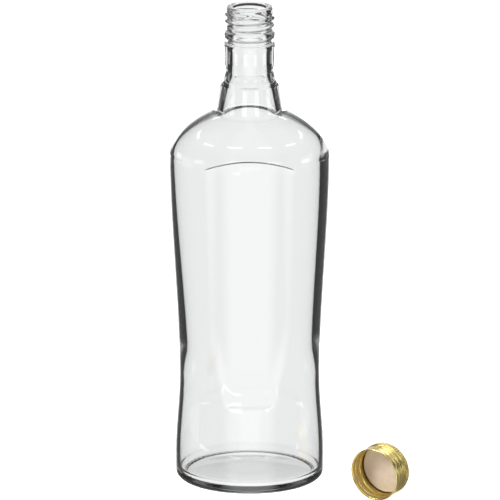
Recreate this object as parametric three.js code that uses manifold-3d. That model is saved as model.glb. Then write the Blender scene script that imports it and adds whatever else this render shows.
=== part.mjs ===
// A clear 0.7 litre spirits bottle with an oval, waisted body, and its gold screw cap
// taken off and lying beside it. Sizes are millimetres and +Z is up.
// The origin is the middle of the base on the surface that the bottle stands on.
import * as THREE from "three";
import Module from "manifold-3d";

const wasm = await Module();
wasm.setup();

// Body: the outside of the oval, as half sizes along X and Y
const shoulderHalfWidth = 44.3;
const shoulderHalfDepth = 33.2;
const waistHalfWidth = 39.6;
const waistHalfDepth = 30.1;
const baseHalfWidth = 42.2;
const baseHalfDepth = 34;

// Body: heights above the standing surface
const heelRadius = 4.5;
const baseBandHeight = 14;
const waistHeight = 62;
const shoulderHeight = 189.2;
const shoulderRise = 25;

// The shoulder is a squashed quarter round: (1 - u^roundness)^fullness
const shoulderRoundness = 1.8;
const shoulderFullness = 0.8;

// Glass: the walls, and the base with its shallow push-up
const wall = 2.7;
const baseThickness = 5;
const insideHeelRadius = 9;
const bearingWidth = 1.6;
const pushUp = 1.4;
const pushUpFlat = 0.3;

// Label panels on the front and the back: shallow fields with an arched top edge
const panelHalfWidth = 29;
const panelSideFade = 5;
const panelDepth = 0.45;
const panelBottom = 52;
const panelTop = 186;
const panelEdge = 1.2;
const panelArch = 8;

// Neck, from its foot up: radii, then the length of each stretch
const neckFootRadius = 18.2;
const lowerNeckRadius = 16.2;
const upperNeckRadius = 14.1;
const neckWaistRadius = 13;
const collarRadius = 13.8;
const collarLipRadius = 14.1;
const grooveRadius = 12.3;
const beadRadius = 13.9;
const finishRadius = 12.7;
const lowerNeckLength = 15.3;
const neckStepLength = 2.4;
const upperNeckLength = 5.6;
const collarFlare = 2.2;
const collarLength = 12.4;
const collarLipLength = 2.6;
const grooveLength = 2.5;
const beadLength = 4.6;
const finishLength = 13.1;
const edgeRound = 0.6;

// Mouth and bore
const boreRadius = 9;
const rimRound = 1.2;
const neckWall = 1.8;

// Thread: a round-topped bead wound right-handed round the finish, the same on bottle and cap
const threadPitch = 3.7;
const threadHeight = 1.1;
const threadTurns = 2.3;
const threadRootWidth = 2.3;
const threadCrestWidth = 0.8;
const threadFade = 0.12;

// Cap: drawn from thin aluminium sheet, with a foam liner in its closed end
const capClearance = 0.45;
const capHeight = 14;
const sheet = 0.3;
const capThreadDepth = 0.8;
const capThreadTurns = 1;
const rimCurl = 0.45;
const knurlCount = 40;
const knurlDepth = 0.4;
const knurlLength = 3.6;
const plainBand = 3;
const bandGroove = 0.35;
const pipBand = 2.4;
const capCornerRadius = 0.9;
const linerThickness = 1.6;
const linerGap = 0.3;

// Where the cap lies: the middle of its open end, and the way its closed end points
const capOpenEnd = { x: 69, y: -39 };
const capHeading = 56;

// Facets round the bottle, round the cap and along one turn of thread
const bottleSides = 44;
const capSides = 2 * knurlCount;
const threadSteps = 20;

// Heights of the neck, stacked on the shoulder
const neckFoot = shoulderHeight + shoulderRise;
const neckStep = neckFoot + lowerNeckLength;
const upperNeck = neckStep + neckStepLength;
const neckWaist = upperNeck + upperNeckLength;
const collarFoot = neckWaist + collarFlare;
const collarTop = collarFoot + collarLength;
const beadFoot = collarTop + grooveLength;
const finishFoot = beadFoot + beadLength;
const mouth = finishFoot + finishLength;

// Smooth step from 0 to 1 as value runs from start to end
function ease(value, start, end) {
  return THREE.MathUtils.smoothstep(value, start, end);
}

// Closes a stack of rings into one solid. A ring of one point is a pole.
function loft(rings) {
  const positions = [];
  const starts = rings.map((points) => {
    const start = positions.length / 3;
    points.forEach((point) => positions.push(point.x, point.y, point.z));
    return start;
  });
  const faces = [];
  for (let i = 0; i + 1 < rings.length; i += 1) {
    const count = Math.max(rings[i].length, rings[i + 1].length);
    const below = (j) => starts[i] + (j % rings[i].length);
    const above = (j) => starts[i + 1] + (j % rings[i + 1].length);
    for (let j = 0; j < count; j += 1) {
      if (rings[i].length > 1) faces.push(below(j), below(j + 1), above(j + 1));
      if (rings[i + 1].length > 1) faces.push(below(j), above(j + 1), above(j));
    }
  }
  const geometry = new THREE.BufferGeometry();
  geometry.setAttribute("position", new THREE.Float32BufferAttribute(positions, 3));
  geometry.setIndex(faces);
  return geometry;
}

function pole(z) {
  return [new THREE.Vector3(0, 0, z)];
}

function oval(z, halfWidth, halfDepth, sides = bottleSides) {
  return Array.from({ length: sides }, (_, j) => {
    const angle = (2 * Math.PI * j) / sides;
    return new THREE.Vector3(halfWidth * Math.cos(angle), halfDepth * Math.sin(angle), z);
  });
}

function circle(z, radius, sides = bottleSides) {
  return oval(z, radius, radius, sides);
}

// One half size of the body at a height, measured inset inside the outer surface
function bodyHalf(z, sizes, inset) {
  const { atBase, atWaist, atShoulder } = sizes;
  if (z <= waistHeight) {
    return THREE.MathUtils.lerp(atWaist, atBase, 1 - ease(z, baseBandHeight, waistHeight)) - inset;
  }
  if (z <= shoulderHeight) {
    return THREE.MathUtils.lerp(atWaist, atShoulder, ease(z, waistHeight, shoulderHeight)) - inset;
  }
  const share = Math.min((z - shoulderHeight) / (shoulderRise - inset), 1);
  const round = (1 - share ** shoulderRoundness) ** shoulderFullness;
  const foot = neckFootRadius - inset;
  return foot + (atShoulder - inset - foot) * round;
}

const widths = { atBase: baseHalfWidth, atWaist: waistHalfWidth, atShoulder: shoulderHalfWidth };
const depths = { atBase: baseHalfDepth, atWaist: waistHalfDepth, atShoulder: shoulderHalfDepth };

function bodyRing(z, inset) {
  return oval(z, bodyHalf(z, widths, inset), bodyHalf(z, depths, inset));
}

// How far the edge of a label panel rises in the middle: levels near the panel's top arch with it
function archLift(z, x) {
  const across = Math.max(1 - (x / panelHalfWidth) ** 2, 0);
  const middle = (panelBottom + panelTop) / 2;
  const level = ease(z, middle, panelTop) * (1 - ease(z, panelTop + panelEdge, neckFoot));
  return panelArch * across * level;
}

// An outer ring of the body, arched near the panels' top and sunk where it crosses them
function outerBodyRing(z) {
  const vertical = ease(z, panelBottom - panelEdge, panelBottom) * (1 - ease(z, panelTop, panelTop + panelEdge));
  return bodyRing(z, 0).map((point) => {
    const lifted = z + archLift(z, point.x);
    const x = (point.x * bodyHalf(lifted, widths, 0)) / bodyHalf(z, widths, 0);
    const y = (point.y * bodyHalf(lifted, depths, 0)) / bodyHalf(z, depths, 0);
    const fade = 1 - ease(Math.abs(x), panelHalfWidth - panelSideFade, panelHalfWidth);
    return new THREE.Vector3(x, y - Math.sign(y) * panelDepth * vertical * fade, lifted);
  });
}

// Evenly spaced values from first to last, both included
function steps(first, last, count) {
  return Array.from({ length: count + 1 }, (_, i) => first + ((last - first) * i) / count);
}

// Quarter round of rings between the flat of the base and the upright wall
function heelRings(floorZ, radius, halfWidth, halfDepth, count) {
  return steps(0, Math.PI / 2, count).map((angle) => {
    const z = floorZ + radius * (1 - Math.cos(angle));
    const inset = radius * (1 - Math.sin(angle));
    return oval(z, halfWidth - inset, halfDepth - inset);
  });
}

// Under the base: a shallow push-up, the bearing ring that it stands on, and the rounded heel
function baseRings() {
  const ringWidth = baseHalfWidth - heelRadius - bearingWidth;
  const ringDepth = baseHalfDepth - heelRadius - bearingWidth;
  const dome = steps(pushUpFlat, 1, 4).map((share) => {
    return oval(pushUp * (1 - ease(share, pushUpFlat, 1)), ringWidth * share, ringDepth * share);
  });
  return [
    pole(pushUp),
    ...dome,
    ...heelRings(0, heelRadius, baseHalfWidth, baseHalfDepth, 5),
  ];
}

// The outside of the body between the heel and the foot of the neck
function bodyRings() {
  const levels = [
    baseBandHeight,
    ...steps(baseBandHeight, panelBottom - panelEdge, 3).slice(1),
    ...steps(panelBottom, panelTop, 6),
    panelTop + panelEdge,
    ...steps(panelTop + panelEdge, neckFoot, 8).slice(1, -1),
  ];
  return levels.map((z) => outerBodyRing(z));
}

// The outside of the neck: taper, step, waist, collar, groove, bead and plain finish
function neckRings() {
  const profile = [
    [neckFoot, neckFootRadius],
    [neckFoot + lowerNeckLength / 2, (neckFootRadius + lowerNeckRadius) / 2],
    [neckStep - edgeRound, lowerNeckRadius],
    [neckStep, lowerNeckRadius - edgeRound],
    [upperNeck - edgeRound, upperNeckRadius + edgeRound / 2],
    [upperNeck, upperNeckRadius],
    [neckWaist - edgeRound, neckWaistRadius],
    [neckWaist, neckWaistRadius],
    [collarFoot, collarRadius],
    [collarTop - collarLipLength, collarRadius],
    [collarTop - collarLipLength + edgeRound, collarLipRadius],
    [collarTop - edgeRound, collarLipRadius],
    [collarTop, collarLipRadius - edgeRound],
    [collarTop + edgeRound, grooveRadius],
    [beadFoot - edgeRound, grooveRadius],
    [beadFoot, beadRadius - edgeRound],
    [beadFoot + edgeRound, beadRadius],
    [finishFoot - 2 * edgeRound, beadRadius],
    [finishFoot - edgeRound, beadRadius - edgeRound],
    [finishFoot, finishRadius],
  ];
  return profile.map(([z, radius]) => circle(z, radius));
}

// The rim: a quarter round outside, a flat to seal on, and a softer edge into the bore
function rimRings() {
  const outside = steps(0, Math.PI / 2, 3).map((angle) => {
    const z = mouth - rimRound * (1 - Math.sin(angle));
    return circle(z, finishRadius - rimRound * (1 - Math.cos(angle)));
  });
  return [
    ...outside,
    circle(mouth, boreRadius + rimRound),
    circle(mouth - rimRound / 3, boreRadius + rimRound / 3),
    circle(mouth - rimRound, boreRadius),
  ];
}

// The inside, from the bore down to the floor of the bottle
function insideRings() {
  const floorZ = baseThickness + pushUp;
  const throat = [
    [neckWaist, boreRadius],
    [upperNeck, upperNeckRadius - 2 * neckWall],
    [neckStep - edgeRound, upperNeckRadius - neckWall],
    [neckStep - lowerNeckLength / 3, upperNeckRadius - neckWall],
    [neckFoot - wall, neckFootRadius - wall - edgeRound],
  ].map(([z, radius]) => circle(z, radius));
  const shoulder = steps(neckFoot - wall, shoulderHeight, 5).slice(1);
  const levels = [...shoulder, ...steps(shoulderHeight, waistHeight, 5).slice(1), (waistHeight + floorZ) / 2];
  const heel = heelRings(
    floorZ - pushUp / 2,
    insideHeelRadius,
    baseHalfWidth - wall,
    baseHalfDepth - wall,
    4,
  );
  return [...throat, ...levels.map((z) => bodyRing(z, wall)), ...heel.reverse(), pole(floorZ)];
}

// A bead wound up a helix, its section shrinking to nothing at both ends
function threadGeometry() {
  const count = Math.round(threadTurns * threadSteps);
  const top = mouth - rimRound - threadRootWidth;
  const bottom = top - threadPitch * threadTurns;
  const rings = steps(0, 1, count).map((share) => {
    const angle = 2 * Math.PI * threadTurns * share - Math.PI;
    const size = Math.max(Math.min(ease(share, 0, threadFade), ease(1 - share, 0, threadFade)), 0.05);
    const z = bottom + (top - bottom) * share;
    const inner = finishRadius - threadHeight / 2;
    const outer = finishRadius + threadHeight * size;
    const section = [
      [inner, -threadRootWidth / 2],
      [finishRadius, -threadRootWidth / 2],
      [outer, -threadCrestWidth / 2],
      [outer, threadCrestWidth / 2],
      [finishRadius, threadRootWidth / 2],
      [inner, threadRootWidth / 2],
    ];
    return section.map(([radius, rise]) => {
      return new THREE.Vector3(radius * Math.cos(angle), radius * Math.sin(angle), z + rise * size);
    });
  });
  const middle = (points) => {
    const sum = points.reduce((total, point) => total.add(point), new THREE.Vector3());
    return [sum.divideScalar(points.length)];
  };
  return loft([middle(rings.at(-1)), ...rings.reverse(), middle(rings.at(-1))]);
}

function solid(geometry) {
  const vertProperties = new Float32Array(geometry.getAttribute("position").array);
  const triVerts = new Uint32Array(geometry.getIndex().array);
  return new wasm.Manifold(new wasm.Mesh({ numProp: 3, vertProperties, triVerts }));
}

function fromSolid(manifold) {
  const mesh = manifold.getMesh();
  const geometry = new THREE.BufferGeometry();
  geometry.setAttribute("position", new THREE.BufferAttribute(mesh.vertProperties, 3));
  geometry.setIndex(new THREE.BufferAttribute(mesh.triVerts, 1));
  return geometry;
}

// The bottle is one blown piece: outside, rim and inside in one skin, with the thread joined on
function bottleGeometry() {
  const blown = loft([...baseRings(), ...bodyRings(), ...neckRings(), ...rimRings(), ...insideRings()]);
  return fromSolid(solid(blown).add(solid(threadGeometry())));
}

// Radii and heights of the cap, on its own axis, with the open end at zero
const skirtRadius = finishRadius + threadHeight + capClearance + sheet;
const standRadius = skirtRadius + rimCurl;
const capThreadFoot = plainBand + pipBand;
const capThreadTop = capThreadFoot + threadPitch * capThreadTurns;
const knurlFoot = capHeight - capCornerRadius - knurlLength;

// How deep the rolled thread is pressed into the skirt at an angle and a height
function capThread(angle, z) {
  const turns = (z - capThreadFoot) / threadPitch - angle / (2 * Math.PI);
  const wave = 0.5 - 0.5 * Math.cos(2 * Math.PI * turns);
  const inside = ease(z, capThreadFoot - 0.6, capThreadFoot + 0.6) * (1 - ease(z, capThreadTop - 0.6, capThreadTop));
  return capThreadDepth * wave ** 2 * inside;
}

// A ring of the cap's skirt: knurling is pressed in at every other point
function capRing(z, radius, knurl) {
  return circle(z, 1, capSides).map((point, j) => {
    const angle = (2 * Math.PI * j) / capSides;
    const pressed = knurl * knurlDepth * (j % 2);
    const r = radius - pressed - capThread(angle, z);
    return new THREE.Vector3(r * point.x, r * point.y, z);
  });
}

// The cap's wall from its curled open edge to its closed end, as height, outer radius and knurling
function capProfile() {
  const thread = steps(plainBand + pipBand / 3, knurlFoot - 0.4, 6).map((z) => [z, skirtRadius, 0]);
  return [
    [0, standRadius - rimCurl, 0],
    [rimCurl / 2, standRadius, 0],
    [3 * rimCurl / 2, standRadius, 0],
    [2 * rimCurl, skirtRadius, 0],
    [plainBand - 0.4, skirtRadius, 0],
    [plainBand, skirtRadius - bandGroove, 0],
    [plainBand + 0.4, skirtRadius - bandGroove, 0],
    ...thread,
    [knurlFoot, standRadius, 0],
    [knurlFoot + 0.4, standRadius, 1],
    [capHeight - capCornerRadius, standRadius, 1],
    [capHeight - capCornerRadius / 4, standRadius - capCornerRadius / 2, 0.6],
    [capHeight, standRadius - 1.4 * capCornerRadius, 0],
  ];
}

function capGeometry() {
  const profile = capProfile();
  const outside = profile.map(([z, radius, knurl]) => capRing(z, radius, knurl));
  const inside = profile.map(([z, radius, knurl]) => {
    const depth = Math.min(z, capHeight - sheet);
    return capRing(depth, radius - sheet, knurl);
  });
  return loft([pole(capHeight - sheet), ...inside.reverse(), ...outside, pole(capHeight)]);
}

// A foam disc that lies against the inside of the closed end
function linerGeometry() {
  const radius = standRadius - sheet - knurlDepth - linerGap;
  const top = capHeight - sheet - linerGap;
  const edge = linerThickness / 8;
  return loft([
    pole(top - linerThickness),
    circle(top - linerThickness, radius - edge),
    circle(top - linerThickness + edge, radius),
    circle(top - 2 * capCornerRadius / 3, radius),
    circle(top, radius - capCornerRadius),
    pole(top),
  ]);
}

const glass = new THREE.MeshStandardMaterial({
  color: 0xe9eded,
  roughness: 0.03,
  metalness: 0,
  transparent: true,
  opacity: 0.35,
});
const goldAluminium = new THREE.MeshStandardMaterial({ color: 0xc9a64a, roughness: 0.3, metalness: 1 });
const foam = new THREE.MeshStandardMaterial({ color: 0xd9c4a6, roughness: 0.8, metalness: 0 });

function part(name, geometry, material) {
  const mesh = new THREE.Mesh(geometry, material);
  mesh.name = name;
  return mesh;
}

// The cap and its liner lie together on the cap's side
const cap = new THREE.Group();
cap.add(part("screw_cap", capGeometry(), goldAluminium));
cap.add(part("cap_liner", linerGeometry(), foam));
cap.rotation.set(0, Math.PI / 2, THREE.MathUtils.degToRad(capHeading), "ZYX");
cap.position.set(capOpenEnd.x, capOpenEnd.y, standRadius);

const bottle = new THREE.Group();
bottle.add(part("glass_bottle", bottleGeometry(), glass));
bottle.add(cap);

export default bottle;
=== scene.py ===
"""A clear glass bottle with an oval, waisted body, and its gold screw cap lying beside it."""

import math

import bpy
import numpy as np
from mathutils import Euler, Matrix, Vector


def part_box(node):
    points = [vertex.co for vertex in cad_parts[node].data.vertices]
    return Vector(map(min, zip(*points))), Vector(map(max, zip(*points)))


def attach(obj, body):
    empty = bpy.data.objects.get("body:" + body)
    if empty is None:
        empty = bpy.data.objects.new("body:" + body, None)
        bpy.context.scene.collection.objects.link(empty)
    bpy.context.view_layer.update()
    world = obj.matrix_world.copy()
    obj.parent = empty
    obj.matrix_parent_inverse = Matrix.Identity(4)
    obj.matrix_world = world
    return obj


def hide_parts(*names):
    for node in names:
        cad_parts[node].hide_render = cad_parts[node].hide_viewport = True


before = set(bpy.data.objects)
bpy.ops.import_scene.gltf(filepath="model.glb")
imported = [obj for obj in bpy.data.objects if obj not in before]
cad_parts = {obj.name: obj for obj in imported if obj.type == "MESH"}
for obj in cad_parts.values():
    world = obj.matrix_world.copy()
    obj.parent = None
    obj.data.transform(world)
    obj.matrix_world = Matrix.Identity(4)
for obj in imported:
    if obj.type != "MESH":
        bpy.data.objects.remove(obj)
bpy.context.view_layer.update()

# Studio: a white floor in a white room with black boards, and two soft lamps, one overhead and
# one at the left. The camera looks along +Y at the bottle's front, with a long lens, 17 degrees down.
CAMERA_PLACE = (0.0, -1.506, 0.600)
CAMERA_DOWN = math.radians(17.14)
LENS_MM = 204.1
SENSOR_MM = 36.0
FRAME_PIXELS = 500
BOTTLE_AXIS_PIXEL = 249.6
FRAME_DROP_PIXELS = 3.2
CAMERA_REACH = (0.1, 50.0)
LIGHT_BOUNCES = 24
MIRROR_BOUNCES = 16
FLOOR_HALF = 6.0
FLOOR_WHITE = (0.8, 0.8, 0.8, 1)
FLOOR_GLOW = 0.8
LAMP_AIM = (0.0, 0.0, 0.05)
KEY_PLACE = (-1.0, -0.5, 0.9)
KEY_SIZE = 0.5
KEY_POWER = 12.0
TOP_PLACE = (0.2, 0.3, 1.4)
TOP_SIZE = 0.8
TOP_POWER = 12.0
BOARD_BLACK = 0.02
ROOM_GLOW = 0.4
CEILING_GLOW = 0.07
FRONT_GLOW = 2.2
SIDE_GLOW = 0.3
UPPER_GLOW = 0.5
RING_GLOW = 6.0
STRIP_GLOW = 2.5
STRIP_AZIMUTH = math.radians(63)
NEAR_WALL_FACES = 3.5


class Wire:
    """A number in a node tree: a sum written with it adds its Math nodes."""

    def __init__(self, tree, socket):
        self.tree = tree
        self.socket = socket

    def math(self, operation, *others):
        node = self.tree.nodes.new("ShaderNodeMath")
        node.operation = operation
        for slot, value in zip(node.inputs, (self, *others)):
            if isinstance(value, Wire):
                self.tree.links.new(value.socket, slot)
            else:
                slot.default_value = value
        return Wire(self.tree, node.outputs[0])

    def __add__(self, other):
        return self.math("ADD", other)

    def __sub__(self, other):
        return self.math("SUBTRACT", other)

    def __mul__(self, other):
        return self.math("MULTIPLY", other)

    def __rsub__(self, other):
        return self.math("MULTIPLY", -1.0).math("ADD", other)

    __radd__ = __add__
    __rmul__ = __mul__

    def greater(self, other):
        return self.math("GREATER_THAN", other)

    def most(self, other):
        return self.math("MAXIMUM", other)

    def span(self, start, end, first, last):
        """Goes from first to last as this value goes from start to end."""
        share = ((self - start) * (1.0 / (end - start))).math("MAXIMUM", 0.0).math("MINIMUM", 1.0)
        return share * (last - first) + first

    def mix(self, other, share):
        return self * (1.0 - share) + share * other


class Nodes:
    """A node tree with one method that makes any node."""

    def __init__(self, tree):
        self.tree = tree
        tree.nodes.clear()

    def node(self, kind, settings=None, inputs=None, output=0):
        made = self.tree.nodes.new(kind)
        for name, value in (settings or {}).items():
            if name == "stops":
                ramp = made.color_ramp
                while len(ramp.elements) < len(value):
                    ramp.elements.new(1.0)
                for stop, (place, colour) in zip(ramp.elements, value):
                    stop.position = place
                    stop.color = colour
            else:
                setattr(made, name, value)
        for name, value in (inputs or {}).items():
            if isinstance(value, Wire):
                self.tree.links.new(value.socket, made.inputs[name])
            else:
                made.inputs[name].default_value = value
        return Wire(self.tree, made.outputs[output]) if made.outputs else None


def new_material(name):
    material = bpy.data.materials.new(name)
    material.use_nodes = True
    return material, Nodes(material.node_tree)


def add_camera():
    data = bpy.data.cameras.new("camera")
    data.lens = LENS_MM
    data.sensor_width = SENSOR_MM
    data.shift_x = (FRAME_PIXELS / 2 - BOTTLE_AXIS_PIXEL) / FRAME_PIXELS
    data.shift_y = -FRAME_DROP_PIXELS / FRAME_PIXELS
    data.clip_start, data.clip_end = CAMERA_REACH
    camera = bpy.data.objects.new("camera", data)
    camera.location = CAMERA_PLACE
    camera.rotation_euler = (math.pi / 2 - CAMERA_DOWN, 0.0, 0.0)
    bpy.context.collection.objects.link(camera)
    bpy.context.scene.camera = camera


lit_pieces = bpy.data.collections.new("lit_pieces")


def add_softbox(name, place, size, power):
    """A square lamp for the floor, the cap and the liner. The room alone lights the glass."""
    data = bpy.data.lights.new(name, "AREA")
    data.size = size
    data.energy = power
    light = bpy.data.objects.new(name, data)
    light.location = place
    toward = np.subtract(LAMP_AIM, place)
    flat = math.hypot(toward[0], toward[1])
    light.rotation_euler = (math.atan2(flat, -toward[2]), 0.0, math.atan2(-toward[0], toward[1]))
    bpy.context.collection.objects.link(light)
    light.light_linking.receiver_collection = lit_pieces


def floor_material():
    """White board: bright to the camera, and dimmer where the cap shades it."""
    material, shader = new_material("white_board")
    camera = shader.node("ShaderNodeLightPath", output="Is Camera Ray")
    glow = camera * FLOOR_GLOW
    white = shader.node("ShaderNodeEmission", inputs={"Color": (1, 1, 1, 1), "Strength": glow})
    matt = shader.node("ShaderNodeBsdfDiffuse", inputs={"Color": FLOOR_WHITE})
    both = shader.node("ShaderNodeAddShader")
    shader.tree.links.new(matt.socket, both.socket.node.inputs[0])
    shader.tree.links.new(white.socket, both.socket.node.inputs[1])
    shader.node("ShaderNodeOutputMaterial", inputs={"Surface": both})
    return material


def add_floor():
    """The floor is left out of the glass and the metal, which show the white room round it instead."""
    mesh = bpy.data.meshes.new("floor")
    corners = [(-FLOOR_HALF, -FLOOR_HALF, 0), (FLOOR_HALF, -FLOOR_HALF, 0)]
    corners += [(FLOOR_HALF, FLOOR_HALF, 0), (-FLOOR_HALF, FLOOR_HALF, 0)]
    mesh.from_pydata(corners, [], [(0, 1, 2, 3)])
    floor = bpy.data.objects.new("floor", mesh)
    bpy.context.collection.objects.link(floor)
    mesh.materials.append(floor_material())
    lit_pieces.objects.link(floor)
    floor.visible_transmission = False
    floor.visible_glossy = False


def add_world():
    """A white room with black boards, each set by the level and the side from which the glass shows it.

    Light that has passed only the near wall's glass meets the black boards, which gives the dark edges.
    Light that has crossed the whole bottle meets the white backdrop.
    """
    world = bpy.data.worlds.new("studio")
    world.use_nodes = True
    bpy.context.scene.world = world
    shader = Nodes(world.node_tree)
    path = "ShaderNodeLightPath"
    camera = shader.node(path, output="Is Camera Ray")
    soft = shader.node(path, output="Is Diffuse Ray")
    passed = shader.node(path, output="Is Transmission Ray")
    walls_passed = shader.node(path, output="Transmission Depth")
    way = shader.node("ShaderNodeTexCoord", output="Generated")
    x = shader.node("ShaderNodeSeparateXYZ", inputs={"Vector": way}, output="X")
    y = shader.node("ShaderNodeSeparateXYZ", inputs={"Vector": way}, output="Y")
    z = shader.node("ShaderNodeSeparateXYZ", inputs={"Vector": way}, output="Z")
    azimuth = y.math("ARCTAN2", x)
    four = (azimuth * 4.0).math("COSINE")
    neck_level = z.span(-0.25, -0.24, 0.0, 1.0)
    steep = z.span(-0.60, -0.48, 1.0, 0.0)
    wall_glow = (four.span(0.5, 0.75, 0.0, 1.0) * neck_level).most(steep)
    inside_seen = walls_passed.greater(NEAR_WALL_FACES)
    ceiling = (1.0 - inside_seen) * CEILING_GLOW
    through = wall_glow.mix(1.0, inside_seen).mix(ceiling, z.span(0.09, 0.13, 0.0, 1.0))
    front = (azimuth * 2.0).math("COSINE").span(-0.75, -0.35, FRONT_GLOW, SIDE_GLOW)
    ring = z.span(0.61, 0.62, 0.0, 1.0) * z.span(0.65, 0.66, 1.0, 0.0)
    ring = ring * (azimuth * 8.0).math("COSINE").span(-0.5, 0.2, 1.0, 0.0)
    strip = (azimuth * 8.0 + 8.0 * STRIP_AZIMUTH).math("COSINE").span(0.3, 0.6, 0.0, 1.0)
    collar_level = z.span(-0.245, -0.24, 0.0, 1.0) * z.span(-0.228, -0.222, 1.0, 0.0)
    taper_level = z.span(-0.10, -0.05, 0.0, 1.0) * z.span(0.1, 0.15, 1.0, 0.0)
    strip = strip * collar_level.most(taper_level)
    mirrored = front * z.span(0.0, 0.1, 1.0, 0.3) + z.span(0.35, 0.6, 0.0, UPPER_GLOW)
    mirrored = mirrored + ring * RING_GLOW + strip * STRIP_GLOW
    room = mirrored.mix(through, passed).mix(ROOM_GLOW, soft).most(BOARD_BLACK)
    backing = shader.node("ShaderNodeBackground", inputs={"Color": (1, 1, 1, 1), "Strength": 1.0})
    lit = shader.node("ShaderNodeBackground", inputs={"Color": (1, 1, 1, 1), "Strength": room})
    seen = shader.node("ShaderNodeMixShader", inputs={"Fac": camera})
    shader.tree.links.new(lit.socket, seen.socket.node.inputs[1])
    shader.tree.links.new(backing.socket, seen.socket.node.inputs[2])
    shader.node("ShaderNodeOutputWorld", inputs={"Surface": seen})


add_camera()
add_floor()
add_world()
add_softbox("key_light", KEY_PLACE, KEY_SIZE, KEY_POWER)
add_softbox("top_light", TOP_PLACE, TOP_SIZE, TOP_POWER)
bpy.context.scene.view_settings.view_transform = "Standard"
bpy.context.scene.cycles.max_bounces = LIGHT_BOUNCES
bpy.context.scene.cycles.transmission_bounces = LIGHT_BOUNCES
bpy.context.scene.cycles.glossy_bounces = MIRROR_BOUNCES

# Bottle: one blown piece of clear container glass with 2.7 mm walls, thicker at the narrow ends.
# Its neck finish is pressed with a right-hand thread. It has shallow arched label fields front and
# back, and it stands on a stippled bearing ring.
low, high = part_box("glass_bottle")
MOUTH = high.z
SHOULDER_HALF_WIDTH = high.x
SHOULDER_HALF_DEPTH = high.y
WAIST_HALF = (0.0396, 0.0301)
BASE_HALF = (0.0422, 0.034)
BASE_BAND = 0.014
WAIST_HEIGHT = 0.062
SHOULDER_HEIGHT = 0.1892
SHOULDER_RISE = 0.025
SHOULDER_ROUNDNESS = 1.8
SHOULDER_FULLNESS = 0.8
WALL = 0.0027
THICKER_LEFT = {"levels": (0.064, 0.078, 0.18), "walls": (WALL, 0.0040, WALL)}
THICKER_RIGHT = {"levels": (0.064, 0.080, 0.20), "walls": (WALL, 0.0041, 0.0044)}
THICKER_FADE = (0.002, 0.012)
HEEL_RADIUS = 0.0045
BEARING_WIDTH = 0.0016
PUSH_UP = 0.0014
BASE_THICKNESS = 0.0035
INSIDE_HEEL_RADIUS = 0.005
PANEL_HALF_WIDTH = 0.029
PANEL_DEPTH = 0.0017
BACK_SHARE = 0.4
PANEL_BOTTOM = 0.052
PANEL_TOP = 0.1845
PANEL_EDGE = 0.0014
PANEL_ARCH = 0.008
PANEL_RUN_IN = 0.045
PANEL_SOFTNESS = 0.012
NECK_FOOT_RADIUS = 0.0182
NECK_STRETCHES = (0.0153, 0.0024, 0.0056, 0.0022, 0.0124, 0.0025, 0.0046)
NECK_EDGE = 0.0006
COLLAR_LIP = 0.0026
BORE_RADIUS = 0.0093
BORE_FOOT = 0.2370
BORE_FLARE = ((0.2319, 0.0100), (0.2285, 0.0115), (0.2235, 0.0126))
FINISH_RADIUS = 0.0127
RIM_ROUND = 0.0012
THREAD_PITCH = 0.0037
THREAD_HEIGHT = 0.0011
THREAD_TURNS = 2.3
THREAD_ROOT = 0.0023
THREAD_REACH = 0.0015
THREAD_FADE = 0.12
STIPPLE_COUNT = 55
STIPPLE_HEIGHT = 0.0004
FOOT_EASE = 0.0006
NECK_SPACING = 0.0006
BORE_SPACING = 0.001
GLASS_SIDES = 220
GLASS_TINT = (0.945, 0.95, 0.95, 1)
NECK_FOOT = SHOULDER_HEIGHT + SHOULDER_RISE


def ease(value, start, end):
    share = np.clip((np.asarray(value, float) - start) / (end - start), 0, 1)
    return share * share * (3 - 2 * share)


def body_half(z, at_base, at_waist, at_shoulder, inset):
    """Half size of the body at a height, a wall's thickness in from the outside."""
    z = np.asarray(z, float)
    below = at_waist + (at_base - at_waist) * (1 - ease(z, BASE_BAND, WAIST_HEIGHT))
    above = at_waist + (at_shoulder - at_waist) * ease(z, WAIST_HEIGHT, SHOULDER_HEIGHT)
    side = np.where(z <= WAIST_HEIGHT, below, above) - inset
    share = np.clip((z - SHOULDER_HEIGHT) / (SHOULDER_RISE - inset), 0, 1)
    foot = NECK_FOOT_RADIUS - inset
    dome = foot + (at_shoulder - inset - foot) * (1 - share**SHOULDER_ROUNDNESS) ** SHOULDER_FULLNESS
    return np.where(z <= SHOULDER_HEIGHT, side, dome)


def half_width(z, inset=0.0):
    return body_half(z, BASE_HALF[0], WAIST_HALF[0], SHOULDER_HALF_WIDTH, inset)


def half_depth(z, inset=0.0):
    return body_half(z, BASE_HALF[1], WAIST_HALF[1], SHOULDER_HALF_DEPTH, inset)


def turn(sides):
    return 2 * math.pi * np.arange(sides) / sides


def oval_ring(z, width, depth, sides):
    angle = turn(sides)
    return np.stack([width * np.cos(angle), depth * np.sin(angle), np.full(sides, z)], 1)


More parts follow.
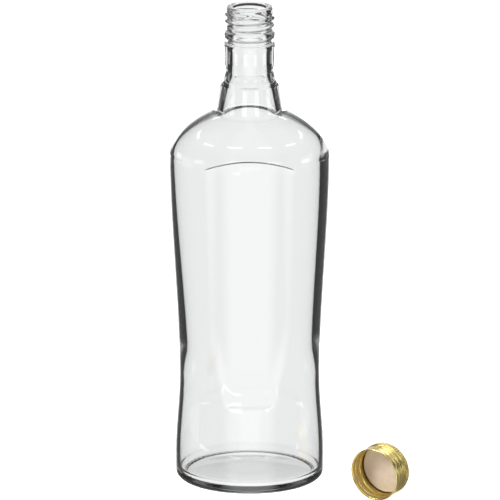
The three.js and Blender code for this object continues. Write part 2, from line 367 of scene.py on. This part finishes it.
def panel_ring(z):
    """A ring of the outside, arched with the top edge of the label fields and sunk inside them.

    The front field has a crisp edge that fades out toward its foot, and the back one is soft.
    """
    ring = oval_ring(z, float(half_width(z)), float(half_depth(z)), GLASS_SIDES)
    across = np.clip(1 - (ring[:, 0] / PANEL_HALF_WIDTH) ** 2, 0, None)
    middle = (PANEL_BOTTOM + PANEL_TOP) / 2
    level = ease(z, middle, PANEL_TOP) * (1 - ease(z, PANEL_TOP + PANEL_EDGE, NECK_FOOT))
    lifted = z + PANEL_ARCH * across * level
    x = ring[:, 0] * half_width(lifted) / half_width(z)
    y = ring[:, 1] * half_depth(lifted) / half_depth(z)
    crisp = ease(z, PANEL_BOTTOM - PANEL_EDGE, PANEL_BOTTOM)
    crisp = crisp * (1 - ease(z, PANEL_TOP, PANEL_TOP + PANEL_EDGE))
    run_in = [PANEL_BOTTOM, PANEL_BOTTOM + PANEL_RUN_IN]
    crisp = crisp * np.interp(z, run_in, [0.3, 1.0])
    soft = ease(z, PANEL_BOTTOM - PANEL_SOFTNESS, PANEL_BOTTOM + PANEL_SOFTNESS)
    soft = soft * (1 - ease(z, PANEL_TOP - PANEL_SOFTNESS, PANEL_TOP + PANEL_SOFTNESS / 3))
    inside = np.where(y < 0, crisp, soft * BACK_SHARE)
    reach = np.interp(z, run_in, [0.5 * PANEL_HALF_WIDTH, PANEL_HALF_WIDTH])
    fade = 1 - ease(np.abs(x), 0.6 * reach, reach)
    return np.stack([x, y - np.sign(y) * PANEL_DEPTH * inside * fade, lifted], 1)


def heel_rings(floor_z, radius, width, depth, count, sides):
    rings = []
    for angle in np.linspace(0, math.pi / 2, count):
        inset = radius * (1 - math.sin(angle))
        level = floor_z + radius * (1 - math.cos(angle))
        rings.append(oval_ring(level, width - inset, depth - inset, sides))
    return rings


def base_rings():
    """The push-up, the stippled bearing ring and the heel."""
    width = BASE_HALF[0] - HEEL_RADIUS - BEARING_WIDTH
    depth = BASE_HALF[1] - HEEL_RADIUS - BEARING_WIDTH
    rings = []
    for share in np.linspace(0.05, 1, 16):
        rise = STIPPLE_HEIGHT + (PUSH_UP - STIPPLE_HEIGHT) * (1 - float(ease(share, 0.3, 1)))
        rings.append(oval_ring(rise, width * share, depth * share, GLASS_SIDES))
    for share in np.linspace(0.1, 0.9, 7):
        step = BEARING_WIDTH * share
        ring = oval_ring(0, width + step, depth + step, GLASS_SIDES)
        dots = (0.5 - 0.5 * np.cos(turn(GLASS_SIDES) * STIPPLE_COUNT)) * math.sin(math.pi * share)
        ring[:, 2] = STIPPLE_HEIGHT * (1 - dots)
        rings.append(ring)
    heel = heel_rings(0, HEEL_RADIUS, BASE_HALF[0], BASE_HALF[1], 12, GLASS_SIDES)
    return rings + heel[1:]


def neck_profile():
    """Heights and radii of the neck between its foot and the top of the bead under the thread."""
    edge = NECK_EDGE
    step, upper, waist, foot, top, bead, finish = NECK_FOOT + np.cumsum(NECK_STRETCHES)
    lip = top - COLLAR_LIP
    return [
        (NECK_FOOT, NECK_FOOT_RADIUS),
        (NECK_FOOT + 0.0076, 0.0172),
        (step - 1.5 * edge, 0.0162),
        (step - edge / 2, 0.0161),
        (step + edge / 2, 0.0155),
        (upper - edge, 0.0144),
        (upper, 0.0141),
        ((upper + waist) / 2, 0.0136),
        (waist - 2 * edge, 0.0131),
        (waist, 0.0131),
        (foot, 0.0136),
        (foot + 2 * edge, 0.0138),
        (lip - edge, 0.0138),
        (lip, 0.01385),
        (lip + edge, 0.0141),
        (top - edge, 0.0141),
        (top - edge / 3, 0.0137),
        (top + edge / 3, 0.0124),
        (top + edge, 0.0123),
        (bead - edge, 0.0123),
        (bead - edge / 3, 0.0125),
        (bead + edge / 3, 0.0136),
        (bead + edge, 0.0139),
        (finish - 2 * edge, 0.0139),
        (finish - edge, 0.0136),
        (finish - edge / 3, 0.0129),
        (finish, FINISH_RADIUS),
    ]


def spaced_profile(points, spacing):
    """Evenly spaced points along a profile."""
    points = np.array(points)
    run = np.concatenate([[0], np.cumsum(np.hypot(*np.diff(points, axis=0).T))])
    places = np.linspace(0, run[-1], int(run[-1] / spacing))
    return np.stack([np.interp(places, run, points[:, 0]), np.interp(places, run, points[:, 1])], 1)


def finish_ring(z, sides):
    """A ring of the threaded finish: the bead's height where its helix passes this level."""
    angle = turn(sides)
    top = MOUTH - RIM_ROUND - THREAD_ROOT
    bottom = top - THREAD_PITCH * THREAD_TURNS
    rise = np.zeros(sides)
    for lap in range(-1, 4):
        share = (angle / (2 * math.pi) + 0.5 + lap) / THREAD_TURNS
        size = np.minimum(ease(share, 0, THREAD_FADE), ease(1 - share, 0, THREAD_FADE))
        off = np.abs(z - (bottom + (top - bottom) * share))
        rise = np.maximum(rise, size * (0.5 + 0.5 * np.cos(math.pi * np.clip(off / THREAD_REACH, 0, 1))))
    radius = FINISH_RADIUS + THREAD_HEIGHT * rise
    return np.stack([radius * np.cos(angle), radius * np.sin(angle), np.full(sides, z)], 1)


def inner_ring(z):
    """A ring of the inside: the glass is thicker at the narrow ends, as it settles in blowing."""
    ring = oval_ring(z, float(half_width(z, WALL)), float(half_depth(z, WALL)), GLASS_SIDES)
    fade = 1 - ease(z, SHOULDER_HEIGHT - THICKER_FADE[0], SHOULDER_HEIGHT + THICKER_FADE[1])
    left = np.interp(z, THICKER_LEFT["levels"], THICKER_LEFT["walls"]) - WALL
    right = np.interp(z, THICKER_RIGHT["levels"], THICKER_RIGHT["walls"]) - WALL
    share = ring[:, 0] / half_width(z, WALL)
    ring[:, 0] += fade * np.where(share < 0, left * share**2, -right * share**2)
    return ring


def glass_rings():
    """Rings up the outside, over the rim, down the bore and over the floor inside."""
    outside = base_rings()
    outside += [panel_ring(z) for z in np.linspace(HEEL_RADIUS, PANEL_BOTTOM - PANEL_EDGE, 12)[1:]]
    outside += [panel_ring(z) for z in np.linspace(PANEL_BOTTOM - PANEL_EDGE, PANEL_BOTTOM, 5)[1:]]
    outside += [panel_ring(z) for z in np.linspace(PANEL_BOTTOM, PANEL_TOP, 28)[1:]]
    outside += [panel_ring(z) for z in np.linspace(PANEL_TOP, PANEL_TOP + PANEL_EDGE, 7)[1:]]
    outside += [panel_ring(z) for z in np.linspace(PANEL_TOP + PANEL_EDGE, NECK_FOOT, 34)[1:-1]]
    profile = spaced_profile(neck_profile(), NECK_SPACING)
    outside += [oval_ring(z, r, r, GLASS_SIDES) for z, r in profile[:-1]]
    finish_foot = profile[-1][0]
    levels = np.linspace(finish_foot, MOUTH - RIM_ROUND, 64)
    outside += [finish_ring(z, GLASS_SIDES) for z in levels]
    for angle in np.linspace(0, math.pi / 2, 7)[1:]:
        z = MOUTH - RIM_ROUND * (1 - math.sin(angle))
        radius = FINISH_RADIUS - RIM_ROUND * (1 - math.cos(angle))
        outside.append(oval_ring(z, radius, radius, GLASS_SIDES))
    bore = []
    for angle in np.linspace(0, math.pi / 2, 7):
        radius = BORE_RADIUS + RIM_ROUND * (1 - math.sin(angle))
        bore.append((MOUTH - RIM_ROUND * (1 - math.cos(angle)), radius))
    bore += [(BORE_FOOT, BORE_RADIUS), *BORE_FLARE]
    bore += [(NECK_FOOT - WALL, NECK_FOOT_RADIUS - WALL - FOOT_EASE)]
    inside = [oval_ring(z, r, r, GLASS_SIDES) for z, r in spaced_profile(bore, BORE_SPACING)]
    floor_z = BASE_THICKNESS + PUSH_UP / 2
    levels = np.linspace(NECK_FOOT - WALL, SHOULDER_HEIGHT, 30)[1:]
    levels = np.concatenate([levels, np.linspace(SHOULDER_HEIGHT, floor_z + INSIDE_HEEL_RADIUS, 40)[1:]])
    inside += [inner_ring(z) for z in levels]
    corner = inner_ring(floor_z + INSIDE_HEEL_RADIUS)
    middle = (corner[:, 0].max() + corner[:, 0].min()) / 2
    reach = np.array([(corner[:, 0].max() - corner[:, 0].min()) / 2, corner[:, 1].max()])
    for angle in np.linspace(math.pi / 2, 0, 14)[1:]:
        size = reach - INSIDE_HEEL_RADIUS * (1 - math.sin(angle))
        rise = floor_z + INSIDE_HEEL_RADIUS * (1 - math.cos(angle))
        inside.append(oval_ring(rise, size[0], size[1], GLASS_SIDES) + [middle, 0, 0])
    for share in np.linspace(1, 0.05, 12)[1:]:
        rise = floor_z + (PUSH_UP / 2) * (1 - float(ease(share, 0.3, 1)))
        ring = oval_ring(rise, size[0] * share, size[1] * share, GLASS_SIDES)
        inside.append(ring + [middle * share, 0, 0])
    return outside + inside


def closed_mesh(name, rings):
    """One closed skin over a stack of rings, with a pole at each end."""
    sides = len(rings[0])
    points = np.concatenate([*rings, [[0, 0, rings[0][0, 2]]], [[0, 0, rings[-1][0, 2]]]])
    first = np.arange(len(rings) - 1)[:, None] * sides
    here = np.arange(sides)[None, :]
    there = (here + 1) % sides
    corners = [first + here, first + there, first + sides + there, first + sides + here]
    faces = np.stack(corners, 2).reshape(-1, 4).tolist()
    start, end, last = len(points) - 2, len(points) - 1, (len(rings) - 1) * sides
    faces += [(start, (j + 1) % sides, j) for j in range(sides)]
    faces += [(end, last + j, last + (j + 1) % sides) for j in range(sides)]
    mesh = bpy.data.meshes.new(name)
    mesh.from_pydata(points.tolist(), [], faces)
    mesh.validate()
    mesh.shade_smooth()
    piece = bpy.data.objects.new(name, mesh)
    bpy.context.collection.objects.link(piece)
    return piece


def glass_material():
    """Clear glass with the faint ripple of a blown wall."""
    material, shader = new_material("clear_glass")
    place = shader.node("ShaderNodeTexCoord", output="Object")
    ripple = shader.node("ShaderNodeTexNoise", {}, {"Vector": place, "Scale": 60.0, "Detail": 1.0})
    bump = shader.node("ShaderNodeBump", {}, {"Height": ripple, "Strength": 0.02, "Distance": 0.0004})
    glass = shader.node(
        "ShaderNodeBsdfPrincipled",
        inputs={
            "Base Color": GLASS_TINT,
            "Roughness": 0.0,
            "IOR": 1.51,
            "Transmission Weight": 1.0,
            "Normal": bump,
        },
    )
    shader.node("ShaderNodeOutputMaterial", inputs={"Surface": glass})
    return material


bottle = closed_mesh("glass_bottle_blown", glass_rings())
bottle.data.materials.append(glass_material())
bottle.visible_shadow = False
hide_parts("glass_bottle")
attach(bottle, "root")

# Screw cap: drawn from thin gold-lacquered aluminium, its thread rolled in over the bottle's.
# It has a knurled grip at the closed end, and a scored band with a row of pips at the open end.
CAP_SHEET = 0.0003
CAP_HEIGHT = 0.014
CAP_STAND = 0.015
CAP_SKIRT = 0.01455
CAP_CURL = 0.00045
CAP_CORNER = 0.0009
CAP_SCORE = 0.0032
CAP_THREAD_FOOT = 0.0054
CAP_BAND_TOP = 0.005
CAP_BAND_EDGE = 0.0004
CAP_BAND_RISE = 0.0002
CAP_KNURL_FOOT = 0.0096
CAP_KNURL_STEP = 0.0006
CAP_FLAT_RADIUS = 0.004
CAP_LINER_LEVEL = 0.012
CAP_SPACING = 0.00026
CAP_SIDES = 360
CAP_OPEN_END = (0.069, -0.039, CAP_STAND)
CAP_TURN = (0.0, math.pi / 2, math.radians(56))
PIP_SUNK = 0.00003
GOLD_DARK = (0.58, 0.46, 0.13, 1)
GOLD_PALE = (0.72, 0.58, 0.22, 1)
# Pale gold for the cut score's bare metal, and for the painted highlight on score, pips and knurl grooves.
BARE_AND_GLINT_GOLD = (1.0, 0.88, 0.58, 1)
# How pale the pips are painted: a painted highlight.
PIP_PAINTED_GLINT = 0.7
BRUSHING = (60.0, 60.0, 9000.0)
CAP_SIZES = {
    "Knurls": 60.0,
    "Knurl depth": 0.0003,
    "Knurl foot": CAP_KNURL_FOOT,
    "Thread pitch": 0.0037,
    "Thread foot": CAP_THREAD_FOOT,
    "Thread depth": 0.0008,
    "Score height": CAP_SCORE,
    "Score depth": 0.00045,
    "Bridges": 9.0,
    "Pips": 46,
    "Pip height": 0.0044,
    "Pip radius": 0.0005,
}


def cap_wall():
    """Height and radius along the cap's outside, from the curled open edge to the closed end."""
    points = []
    for angle in np.linspace(0, math.pi, 9):
        points.append((CAP_CURL * (1 - math.cos(angle)), CAP_SKIRT + CAP_CURL * math.sin(angle)))
    points.append((CAP_BAND_TOP - CAP_BAND_EDGE, CAP_SKIRT))
    points.append((CAP_BAND_TOP, CAP_SKIRT + CAP_BAND_RISE))
    points.append((CAP_BAND_TOP + CAP_BAND_EDGE, CAP_SKIRT))
    points.append((CAP_KNURL_FOOT - CAP_KNURL_STEP, CAP_SKIRT))
    points.append((CAP_KNURL_FOOT - CAP_KNURL_STEP / 3, CAP_STAND - CAP_SHEET / 3))
    points.append((CAP_KNURL_FOOT, CAP_STAND))
    lifted = CAP_HEIGHT - CAP_CORNER
    for angle in np.linspace(0, math.pi / 2, 7):
        radius = CAP_STAND - CAP_CORNER * (1 - math.cos(angle))
        points.append((lifted + CAP_CORNER * math.sin(angle), radius))
    points.append((CAP_HEIGHT, CAP_FLAT_RADIUS))
    return spaced_profile(points, CAP_SPACING)


def cap_rings():
    """Rings down the inside of the sheet, round the open edge and up the outside."""
    outside = cap_wall()
    along = np.gradient(outside, axis=0)
    along /= np.linalg.norm(along, axis=1)[:, None]
    inside = outside + CAP_SHEET * np.stack([-np.abs(along[:, 1]), -np.abs(along[:, 0])], 1)
    inside[:, 0] = np.where(outside[:, 0] < CAP_LINER_LEVEL, outside[:, 0], inside[:, 0])
    stack = [*inside[::-1], *outside]
    return [oval_ring(z, r, r, CAP_SIDES) for z, r in stack]


def pressing_tree():
    """Rolls the thread, the knurls and the score into a plain drawn cap, and adds its row of pips."""
    group = bpy.data.node_groups.new("pressed_cap", "GeometryNodeTree")
    tree = Nodes(group)
    group.interface.new_socket("Geometry", in_out="INPUT", socket_type="NodeSocketGeometry")
    group.interface.new_socket("Geometry", in_out="OUTPUT", socket_type="NodeSocketGeometry")
    for name, value in CAP_SIZES.items():
        kind = "NodeSocketInt" if isinstance(value, int) else "NodeSocketFloat"
        group.interface.new_socket(name, in_out="INPUT", socket_type=kind)
    group.interface.new_socket("Finish", in_out="INPUT", socket_type="NodeSocketMaterial")
    given = group.nodes.new("NodeGroupInput")

    def size(name):
        return Wire(group, given.outputs[name])

    place = tree.node("GeometryNodeInputPosition")
    x = tree.node("ShaderNodeSeparateXYZ", inputs={"Vector": place}, output="X")
    y = tree.node("ShaderNodeSeparateXYZ", inputs={"Vector": place}, output="Y")
    z = tree.node("ShaderNodeSeparateXYZ", inputs={"Vector": place}, output="Z")
    angle = y.math("ARCTAN2", x)
    radius = (x * x + y * y).math("SQRT")
    notch = (angle * size("Knurls")).math("COSINE") * 0.5 + 0.5
    grip = (z - size("Knurl foot")).span(0.0, 0.0004, 0.0, 1.0) * radius.span(0.0136, 0.0146, 0.0, 1.0)
    knurl = notch.math("POWER", 1.6) * grip * size("Knurl depth")
    climb = (z - size("Thread foot")).math("DIVIDE", size("Thread pitch"))
    wave = 0.5 - ((climb - angle * (0.5 / math.pi)) * (2 * math.pi)).math("COSINE") * 0.5
    rolled = climb.span(-0.16, 0.16, 0.0, 1.0) * climb.span(0.84, 1.0, 1.0, 0.0)
    thread = wave * wave * rolled * size("Thread depth")
    bridge = (angle * size("Bridges")).math("COSINE").span(0.985, 0.995, 1.0, 0.15)
    line = (z - size("Score height")).math("ABSOLUTE").span(0.0001, 0.0005, 1.0, 0.0)
    score = line * bridge * size("Score depth")
    inward = (knurl + thread + score).math("DIVIDE", radius.most(0.001)) * -1.0
    shift = tree.node("ShaderNodeCombineXYZ", inputs={"X": x * inward, "Y": y * inward})
    # Pale mask: bare metal at the cut score with a painted highlight on it, and painted sheen in the knurl
    # grooves.
    wear_and_painted_glint = (line * bridge).most(grip * notch * 0.1)
    marked = tree.node(
        "GeometryNodeStoreNamedAttribute",
        {"data_type": "FLOAT", "domain": "POINT"},
        {"Geometry": size("Geometry"), "Name": "bare", "Value": wear_and_painted_glint},
    )
    pressed = tree.node("GeometryNodeSetPosition", inputs={"Geometry": marked, "Offset": shift})

    ring_radius = CAP_SKIRT - CAP_SHEET + PIP_SUNK
    spots = tree.node("GeometryNodeMeshCircle", {}, {"Vertices": size("Pips"), "Radius": ring_radius})
    lift = tree.node("ShaderNodeCombineXYZ", inputs={"Z": size("Pip height")})
    spots = tree.node("GeometryNodeSetPosition", inputs={"Geometry": spots, "Offset": lift})
    ball = {"Segments": 12, "Rings": 8, "Radius": size("Pip radius")}
    pip = tree.node("GeometryNodeMeshUVSphere", inputs=ball)
    facing = tree.node("ShaderNodeCombineXYZ", inputs={"Z": angle})
    pips = tree.node(
        "GeometryNodeInstanceOnPoints",
        inputs={"Points": spots, "Instance": pip, "Rotation": facing, "Scale": (0.5, 1.0, 1.1)},
    )
    pips = tree.node("GeometryNodeRealizeInstances", inputs={"Geometry": pips})
    # The pips are painted pale all over, as a painted highlight.
    pips = tree.node(
        "GeometryNodeStoreNamedAttribute",
        {"data_type": "FLOAT", "domain": "POINT"},
        {"Geometry": pips, "Name": "bare", "Value": PIP_PAINTED_GLINT},
    )
    joined = group.nodes.new("GeometryNodeJoinGeometry")
    group.links.new(pips.socket, joined.inputs[0])
    group.links.new(pressed.socket, joined.inputs[0])
    whole = tree.node("GeometryNodeRealizeInstances", inputs={"Geometry": Wire(group, joined.outputs[0])})
    whole = tree.node("GeometryNodeSetMaterial", inputs={"Geometry": whole, "Material": size("Finish")})
    tree.node("NodeGroupOutput", inputs={"Geometry": whole})
    return group


def gold_material():
    """Gold lacquer over aluminium, finely brushed round the cap's axis; the score is bare metal with a
    painted highlight.
    """
    material, shader = new_material("gold_aluminium")
    place = shader.node("ShaderNodeTexCoord", output="Object")
    own = shader.node(
        "ShaderNodeMapping",
        {"vector_type": "TEXTURE"},
        {"Vector": place, "Location": CAP_OPEN_END, "Rotation": CAP_TURN},
    )
    stretched = shader.node("ShaderNodeMapping", {}, {"Vector": own, "Scale": BRUSHING})
    lines = shader.node("ShaderNodeTexNoise", {}, {"Vector": stretched, "Scale": 1.0, "Detail": 2.0}, "Fac")
    cloud = shader.node("ShaderNodeTexNoise", {}, {"Vector": own, "Scale": 260.0, "Detail": 3.0}, "Fac")
    stops = [(0.3, GOLD_DARK), (0.7, GOLD_PALE)]
    lacquer = shader.node("ShaderNodeValToRGB", {"stops": stops}, {"Fac": cloud * 0.6 + lines * 0.4})
    # The mask pales the colour: bare metal and painted highlight at the score, painted highlight on pips
    # and knurls.
    bare = shader.node("ShaderNodeAttribute", {"attribute_name": "bare"}, output="Fac")
    wear_and_painted_glint = {0: bare, 6: lacquer, 7: BARE_AND_GLINT_GOLD}
    colour = shader.node("ShaderNodeMix", {"data_type": "RGBA"}, wear_and_painted_glint, 2)
    bump = shader.node("ShaderNodeBump", {}, {"Height": lines, "Strength": 0.06, "Distance": 0.00005})
    gold = shader.node(
        "ShaderNodeBsdfPrincipled",
        inputs={
            "Base Color": colour,
            "Metallic": 1.0,
            "Roughness": lines * 0.06 + 0.24,
            "Coat Weight": 0.15,
            "Coat Roughness": 0.12,
            "Normal": bump,
        },
    )
    shader.node("ShaderNodeOutputMaterial", inputs={"Surface": gold})
    return material


def run_tree(piece, group, sizes, finish):
    """Makes the plain mesh that a piece becomes under a node tree."""
    modifier = piece.modifiers.new("pressing", "NODES")
    modifier.node_group = group
    for item in group.interface.items_tree:
        if item.in_out == "INPUT" and item.name in sizes:
            modifier[item.identifier] = sizes[item.name]
        if item.in_out == "INPUT" and item.name == "Finish":
            modifier[item.identifier] = finish
    shown = piece.evaluated_get(bpy.context.evaluated_depsgraph_get())
    made = bpy.data.meshes.new_from_object(shown)
    piece.modifiers.remove(modifier)
    piece.data = made
    made.shade_smooth()


def lay_down(piece):
    """Puts a piece made on the cap's own axis where the cap lies."""
    turned = Euler(CAP_TURN, "XYZ").to_matrix().to_4x4()
    piece.data.transform(Matrix.Translation(CAP_OPEN_END) @ turned)
    lit_pieces.objects.link(piece)


cap = closed_mesh("gold_screw_cap", cap_rings())
run_tree(cap, pressing_tree(), CAP_SIZES, gold_material())
lay_down(cap)
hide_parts("screw_cap")
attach(cap, "root")

# Liner: a disc of beige foam pressed into the cap's closed end, where it seals the mouth.
# Its face has the shallow ring that the bottle's rim leaves in it.
LINER_RADIUS = 0.0140
LINER_BOTTOM = 0.0118
LINER_TOP = 0.0134
LINER_EDGE = 0.0002
LINER_BEVEL = 0.0006
LINER_DENT = 0.00012
LINER_DENT_RADIUS = 0.0113
LINER_DENT_WIDTH = 0.0012
LINER_POLE = 0.0004
LINER_SIDES = 160
FOAM_DARK = (0.74, 0.60, 0.47, 1)
FOAM_PALE = (0.84, 0.71, 0.58, 1)


def liner_rings():
    """Rings over the dented face, round the edge and over the side against the cap."""
    rings = []
    for radius in np.linspace(LINER_POLE, LINER_RADIUS - LINER_EDGE, 70):
        pressed = math.exp(-(((radius - LINER_DENT_RADIUS) / LINER_DENT_WIDTH) ** 2))
        rings.append((LINER_BOTTOM + LINER_DENT * pressed, radius))
    rings += [(LINER_BOTTOM + LINER_EDGE, LINER_RADIUS), (LINER_TOP - LINER_BEVEL, LINER_RADIUS)]
    rings += [(LINER_TOP, LINER_RADIUS - CAP_CORNER), (LINER_TOP, LINER_POLE)]
    return [oval_ring(z, r, r, LINER_SIDES) for z, r in rings]


def foam_material():
    """Closed-cell foam: fine cells, and a soft change of tone over the disc."""
    material, shader = new_material("foam_liner")
    place = shader.node("ShaderNodeTexCoord", output="Object")
    cells = shader.node("ShaderNodeTexVoronoi", {}, {"Vector": place, "Scale": 3500.0}, "Distance")
    cloud = shader.node("ShaderNodeTexNoise", {}, {"Vector": place, "Scale": 300.0, "Detail": 3.0}, "Fac")
    stops = [(0.3, FOAM_DARK), (0.7, FOAM_PALE)]
    colour = shader.node("ShaderNodeValToRGB", {"stops": stops}, {"Fac": cloud * 0.7 + cells * 0.3})
    bump = shader.node("ShaderNodeBump", {}, {"Height": cells, "Strength": 0.2, "Distance": 0.00005})
    look = {"Base Color": colour, "Roughness": 0.75, "Normal": bump}
    foam = shader.node("ShaderNodeBsdfPrincipled", inputs=look)
    shader.node("ShaderNodeOutputMaterial", inputs={"Surface": foam})
    return material


liner = closed_mesh("foam_disc", liner_rings())
liner.data.materials.append(foam_material())
lay_down(liner)
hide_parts("cap_liner")
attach(liner, "root")
